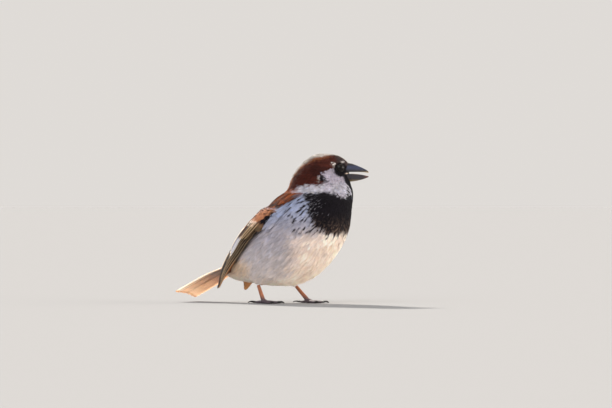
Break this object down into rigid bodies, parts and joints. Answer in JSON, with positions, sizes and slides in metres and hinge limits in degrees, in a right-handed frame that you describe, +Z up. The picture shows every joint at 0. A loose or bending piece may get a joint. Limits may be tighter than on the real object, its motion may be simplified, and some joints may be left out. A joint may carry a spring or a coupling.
{
  "type": "house sparrow",
  "caption": "Life-size still model of a male house sparrow, standing with its head turned to its left, bill slightly open and wings folded low beside the tail.",
  "frame": {"origin": "on the floor, below the middle of the whole bird's box", "axes": "+X is the way the body faces, +Y is the bird's left, +Z is up; the head is turned 30 degrees from +X towards +Y"},
  "size_m": [0.1198, 0.0476, 0.0896],
  "materials": {
    "head_plumage": "fine soft feathers, chestnut with a black mask and pale cheeks",
    "neck_plumage": "fine soft feathers, black bib and pale neck sides",
    "body_plumage": "loose soft feathers, lilac grey to cream, with a streaked chestnut back",
    "wing_plumage": "firm flight feathers and coverts, dark brown with buff and chestnut edges",
    "tail_plumage": "firm tail feathers, grey brown with pale edges",
    "bill": "smooth blue-black horn with a satin shine",
    "eye": "wet gloss, very dark brown",
    "leg": "fine horny scales, pinkish brown turning grey on the toes",
    "claw": "smooth dark horn"
  },
  "bodies": {
    "root": {"head": "head_plumage", "neck": "neck_plumage", "trunk": "body_plumage", "rump": "body_plumage", "cuff_right": "body_plumage", "cuff_left": "body_plumage", "eye_right": "eye", "eye_left": "eye", "bill_upper": "bill", "bill_lower": "bill", "wing_right_coverts": "wing_plumage", "wing_right_secondaries": "wing_plumage", "wing_right_primaries": "wing_plumage", "wing_left_coverts": "wing_plumage", "wing_left_secondaries": "wing_plumage", "wing_left_primaries": "wing_plumage", "tail": "tail_plumage", "shank_right": "leg", "shank_left": "leg", "foot_right": "leg", "foot_left": "leg", "claw_right_inner": "claw", "claw_right_middle": "claw", "claw_right_outer": "claw", "claw_right_hind": "claw", "claw_left_inner": "claw", "claw_left_middle": "claw", "claw_left_outer": "claw", "claw_left_hind": "claw"}
  },
  "joints": []
}
